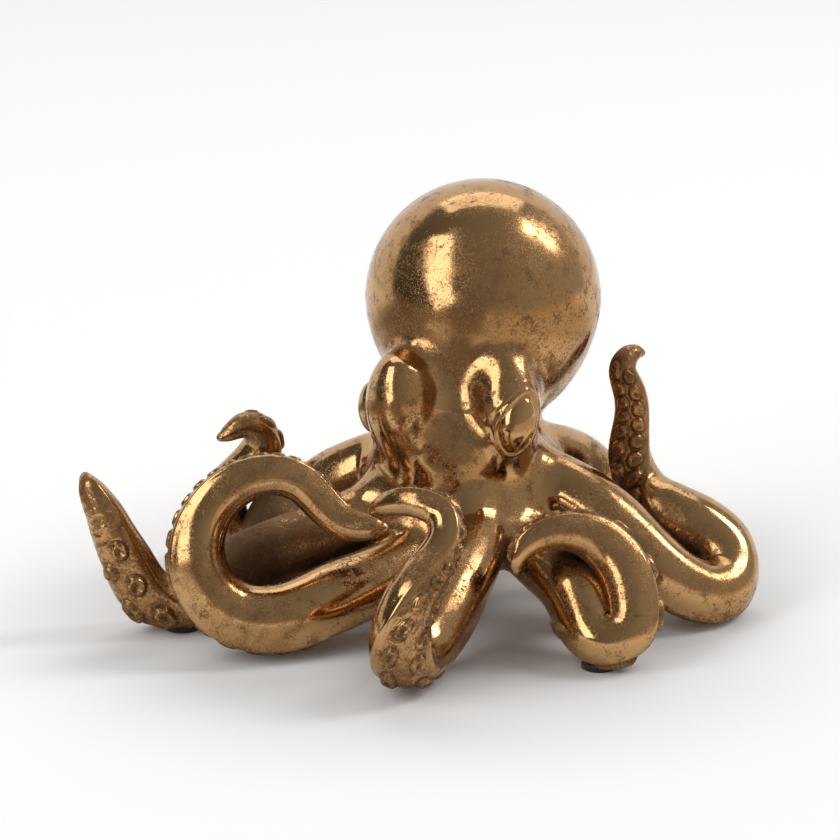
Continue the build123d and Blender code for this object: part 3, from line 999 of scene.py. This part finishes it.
def armMeshFor(name, facts):
    # the section carried along the centre line, with the suckers, wrinkles and waves along its normal
    line = lines[name]
    end = line["length"] - line["radius"][-1]
    capLength = armMesh["capReach"] * line["radius"][-1]
    cap = np.sin(np.linspace(0.0, 1.0, armMesh["capRings"] + 2)[1:-1] * math.pi / 2.0) * capLength
    start = line["joint"] - meeting["overlapBefore"]
    at = np.concatenate([np.linspace(start, end, facts["rows"]), end + cap])
    past = at - line["joint"]
    full, along = lineAt(line, at, "radius"), lineAt(line, at, "along")
    radius = full * np.sqrt(np.maximum(1.0 - np.clip((at - end) / capLength, 0.0, 1.0) ** 2, 1e-6))
    centre = lineAt(line, at, "centre") + along * np.maximum(at - line["length"], 0.0)[:, None]
    angles = columnAngles()
    degrees = np.abs(np.degrees(angles))
    grown = smooth(past, *armMesh["grown"])[:, None]
    edge = bump(degrees, *section["rim"], facts["ridge"]) - bump(degrees, *section["flank"], facts["flank"])
    shape = sectionReach(angles) * (1.0 + grown * edge)
    rows, columns = shape.shape
    outward = np.cos(angles)[:, None] * lineAt(line, at, "back")[:, None]
    outward = outward + np.sin(angles)[:, None] * lineAt(line, at, "side")[:, None]
    points = centre[:, None] + outward * (shape * radius[:, None])[..., None]

    follow = 1.0 - smooth(past, *meeting["follow"])
    following = np.flatnonzero(follow > 0.0)
    strip = points[following].reshape(-1, 3)
    settled = settle(strip, lambda places: bodyDistance(places, False), 2)
    share = np.repeat(follow[following], columns)[:, None]
    points[following] = (strip * (1.0 - share) + settled * share).reshape(len(following), columns, 3)

    relief, dark = suckerRelief(facts, line, at, angles, full)
    sole = smooth(degrees, *armMesh["worn"]) * grown
    alongStretch, acrossStretch = armMesh["wrinkleStretch"]
    across = radius[:, None] * acrossStretch
    local = np.stack(np.broadcast_arrays(
        at[:, None] / alongStretch, np.cos(angles) * across, np.sin(angles) * across,
    ), axis=-1).reshape(-1, 3)
    folds = layeredNoise(local, *armMesh["wrinkleNoise"], facts["seed"]).reshape(rows, columns)
    waves = layeredNoise(points.reshape(-1, 3), *armMesh["waveNoise"], facts["seed"] + armMesh["waveSeed"])
    waves = waves.reshape(rows, columns)
    thin = np.minimum(radius / armMesh["fullRadius"], 1.0)[:, None]
    relief = relief * grown + sole * folds * facts["wrinkle"] * armMesh["wrinkleDepth"] * thin
    relief = (relief + grown * waves * armMesh["wave"] * thin) * (radius / full)[:, None]
    sink = meeting["sink"] * (1.0 - smooth(past, *meeting["armSink"]))
    points = points + outward * (relief - sink[:, None])[..., None]
    floor = figure["padThickness"] if facts["padded"] else figure["floorGap"]
    points[..., 2] = np.maximum(points[..., 2], floor)

    tip = centre[-1:] + along[-1:] * armMesh["tipPoint"]
    flat = np.concatenate([points.reshape(-1, 3), points[:1].mean(axis=1), tip])
    normals = np.concatenate([outward.reshape(-1, 3), outward[:1].mean(axis=1), along[-1:]])
    # the listed stretch counts as crowded, for its darkening: partly unpolished casting, partly painted shade
    low, high = np.array(facts["raw"]) * line["length"]
    raw = smooth(at - low, *armMesh["rawAndShadeStart"]) * (1.0 - smooth(at - high, *armMesh["rawAndShadeEnd"]))
    values = coatsAt(flat, normals)
    raw = np.append(np.repeat(armMesh["rawAndShadeDepth"] * raw, columns), [0.0, 0.0])
    values["recess"] = np.maximum(values["recess"], raw)
    values["sole"] = np.append(sole, [0.0, 1.0])
    # painted shade in the sucker hollows and grooves
    values["pit"] = np.append(np.clip(dark * grown, 0.0, 1.0), [0.0, 0.0])
    return flat, closedTube(rows, columns), values


for name, facts in arms.items():
    points, triangles, values = armMeshFor(name, facts)
    label = "".join(word.capitalize() if order else word for order, word in enumerate(name.split("_")))
    makePiece(label, points, triangles, "brass", name, brass, values)


def eyeMesh(facts):
    # an oval by longitude and latitude, with a point at each pole
    turns, levels = face["eyeTurns"], face["eyeLevels"]
    lift = (np.arange(1, levels) / levels - 0.5)[:, None] * math.pi
    turn = np.arange(turns) / turns * 2.0 * math.pi
    unit = np.stack(np.broadcast_arrays(
        np.cos(lift) * np.cos(turn), np.cos(lift) * np.sin(turn), np.sin(lift),
    ), axis=-1).reshape(-1, 3)
    unit = np.concatenate([unit, [[0.0, 0.0, -1.0], [0.0, 0.0, 1.0]]])
    unit[:, 0] *= 1.0 - face["drawnIn"] * unit[:, 2] ** 2
    across, up, outward = eyeFrame(facts)
    wide, tall, deep = facts["half"]
    points = facts["middle"] + unit[:, :1] * wide * across + unit[:, 1:2] * deep * outward
    return points + unit[:, 2:] * tall * up, closedTube(levels - 1, turns)[:, ::-1]


for name, facts in eyes.items():
    makePiece(facts["label"], *eyeMesh(facts), "eye_brass", name, eyeBrass, {})
for name in ("core_plug", "pad_left", "pad_front_right", "pad_back_right", "pad_back_left"):
    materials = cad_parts[name].data.materials
    materials.clear()
    materials.append(rawBrass if name == "core_plug" else felt)


# Floor, light and camera. A mask's pair holds where it is 0 and where it is 1.
studio = {
    "floorReach": 9.0,
    "floorColour": (0.95, 0.95, 0.947, 1.0),
    "floorRoughness": 0.9,
    "floorSpecular": 0.1,
    # painted shade: in reflections only, the floor away in front goes dark, darker to the left
    "mirroredPaintedShade": ((0.26, 0.22, 0.18, 1.0), (0.80, 0.71, 0.60, 1.0)),  # as mirrored, left and right
    "paintedShadeSides": (-0.06, 0.12),
    "paintedShadeAway": (0.20, 0.36),
    "paintedShadeFront": (0.45, 0.10),
    # painted light: a pool of light on the floor, seen in reflections only
    "band": {  # a pale strip in that dark, which stays on the floor in front
        "azimuth": -43.0, "width": (0.011, 0.004), "reach": (0.62, 0.50), "front": (-0.05, -0.20),
    },
    "lift": 0.185,  # added to the floor as seen and mirrored, clear of the shadows
    "liftAway": (0.10, 0.24),
    "worldWhite": 0.92,
    "worldSeen": 0.97,
    "worldFacing": (0.128, -0.911, 0.412),
    "worldEdge": (-0.35, -0.25),
    "worldDark": (0.265, 0.185),  # at the middle, and how much more to the right
}
lamps = {
    "stripLamp": {"azimuth": -54.0, "height": 32.4, "turn": 30.0, "size": (1.75, 5.2), "watts": 80.0},
    "boxLamp": {"azimuth": 103.5, "height": 45.8, "turn": 0.0, "size": (0.98, 2.0), "watts": 42.0},
    "topLamp": {"azimuth": 180.0, "height": 57.0, "turn": 0.0, "size": (3.2, 1.6), "watts": 24.0},
}
lampAway = 4.0
lampTarget = (0.0, 0.0, 0.09)
cameraFacts = {
    "azimuth": 0.0, "height": 16.0, "turn": 0.0, "away": 1.3, "target": (0.0, 0.0, 0.084),
    "lens": 125.9, "sensor": 36.0,
}


def makeFloor():
    mesh = bpy.data.meshes.new("floor")
    near, far = -studio["floorReach"], studio["floorReach"]
    mesh.from_pydata([(near, near, 0), (far, near, 0), (far, far, 0), (near, far, 0)], [], [(0, 1, 2, 3)])
    floor = placed("floor", mesh)
    material = bpy.data.materials.new("paleFloor")
    board = Board(material)
    place = board.place()
    x, y = (board.add("ShaderNodeSeparateXYZ", {}, {0: place}, output=index) for index in range(2))
    away = board.add("ShaderNodeVectorMath", {"operation": "LENGTH"}, {0: place}, output=1)
    seen, mirrored = (board.add("ShaderNodeLightPath", {}, {}, output=index) for index in (0, 3))
    # in reflections only: painted shade on the floor away in front, and a painted pool of light in it
    band = studio["band"]
    turn = math.radians(band["azimuth"])
    beside = x * math.cos(turn) + y * math.sin(turn)
    pale = board.steps(beside * beside, *band["width"]) * board.steps(away, *band["reach"])
    pale = pale * board.steps(y, *band["front"])
    dark = board.steps(away, *studio["paintedShadeAway"]) * board.steps(y, *studio["paintedShadeFront"]) * (1.0 - pale) * mirrored
    paintedShadeColour = board.mix(board.steps(x, *studio["paintedShadeSides"]), *studio["mirroredPaintedShade"])
    lift = (seen + mirrored).clamp() * (board.steps(away, *studio["liftAway"]) * (1.0 - dark))
    board.surface({
        "Base Color": board.mix(dark, studio["floorColour"], paintedShadeColour),
        "Roughness": studio["floorRoughness"], "Specular IOR Level": studio["floorSpecular"],
        "Emission Color": board.mix(lift, (0.0, 0.0, 0.0, 1.0), (studio["lift"],) * 3 + (1.0,)),
        "Emission Strength": 1.0,
    })
    mesh.materials.append(material)


def makeWorld():
    # white behind, beside and above, dark where the camera stands, and plain white to the camera
    world = bpy.data.worlds.new("studio")
    scene.world = world
    board = Board(world)
    direction = board.add("ShaderNodeTexCoord", {}, {}, output=0)
    x, y, z = (board.add("ShaderNodeSeparateXYZ", {}, {0: direction}, output=index) for index in range(3))
    toX, toY, toZ = studio["worldFacing"]
    dark = board.steps(x * toX + y * toY + z * toZ, *studio["worldEdge"])
    shade = x * studio["worldDark"][1] + studio["worldDark"][0]
    strength = dark * (shade - studio["worldWhite"]) + studio["worldWhite"]
    seen = board.add("ShaderNodeLightPath", {}, {}, output=0)
    strength = strength * (1.0 - seen) + seen * studio["worldSeen"]
    shader = board.add("ShaderNodeBackground", {}, {"Color": (1.0, 1.0, 1.0, 1.0), "Strength": strength})
    board.add("ShaderNodeOutputWorld", {}, {"Surface": shader})


def stand(thing, facts, away, target):
    # out from the target by azimuth and height, in degrees, and facing it
    azimuth, height = math.radians(facts["azimuth"]), math.radians(facts["height"])
    out = Vector((math.sin(azimuth) * math.cos(height), -math.cos(azimuth) * math.cos(height), math.sin(height)))
    thing.location = Vector(target) + out * away
    turn = Quaternion((0.0, 0.0, 1.0), math.radians(facts["turn"]))
    thing.rotation_euler = ((-out).to_track_quat("-Z", "Y") @ turn).to_euler()


makeFloor()
makeWorld()
for name, facts in lamps.items():
    lamp = bpy.data.lights.new(name, "AREA")
    lamp.shape = "RECTANGLE"
    lamp.size, lamp.size_y = facts["size"]
    lamp.energy = facts["watts"]
    stand(placed(name, lamp), facts, lampAway, lampTarget)
cameraData = bpy.data.cameras.new("camera")
cameraData.lens, cameraData.sensor_width = cameraFacts["lens"], cameraFacts["sensor"]
camera = placed("camera", cameraData)
stand(camera, cameraFacts, cameraFacts["away"], cameraFacts["target"])
scene.camera = camera
scene.view_settings.view_transform = "Standard"
print("studio ready")
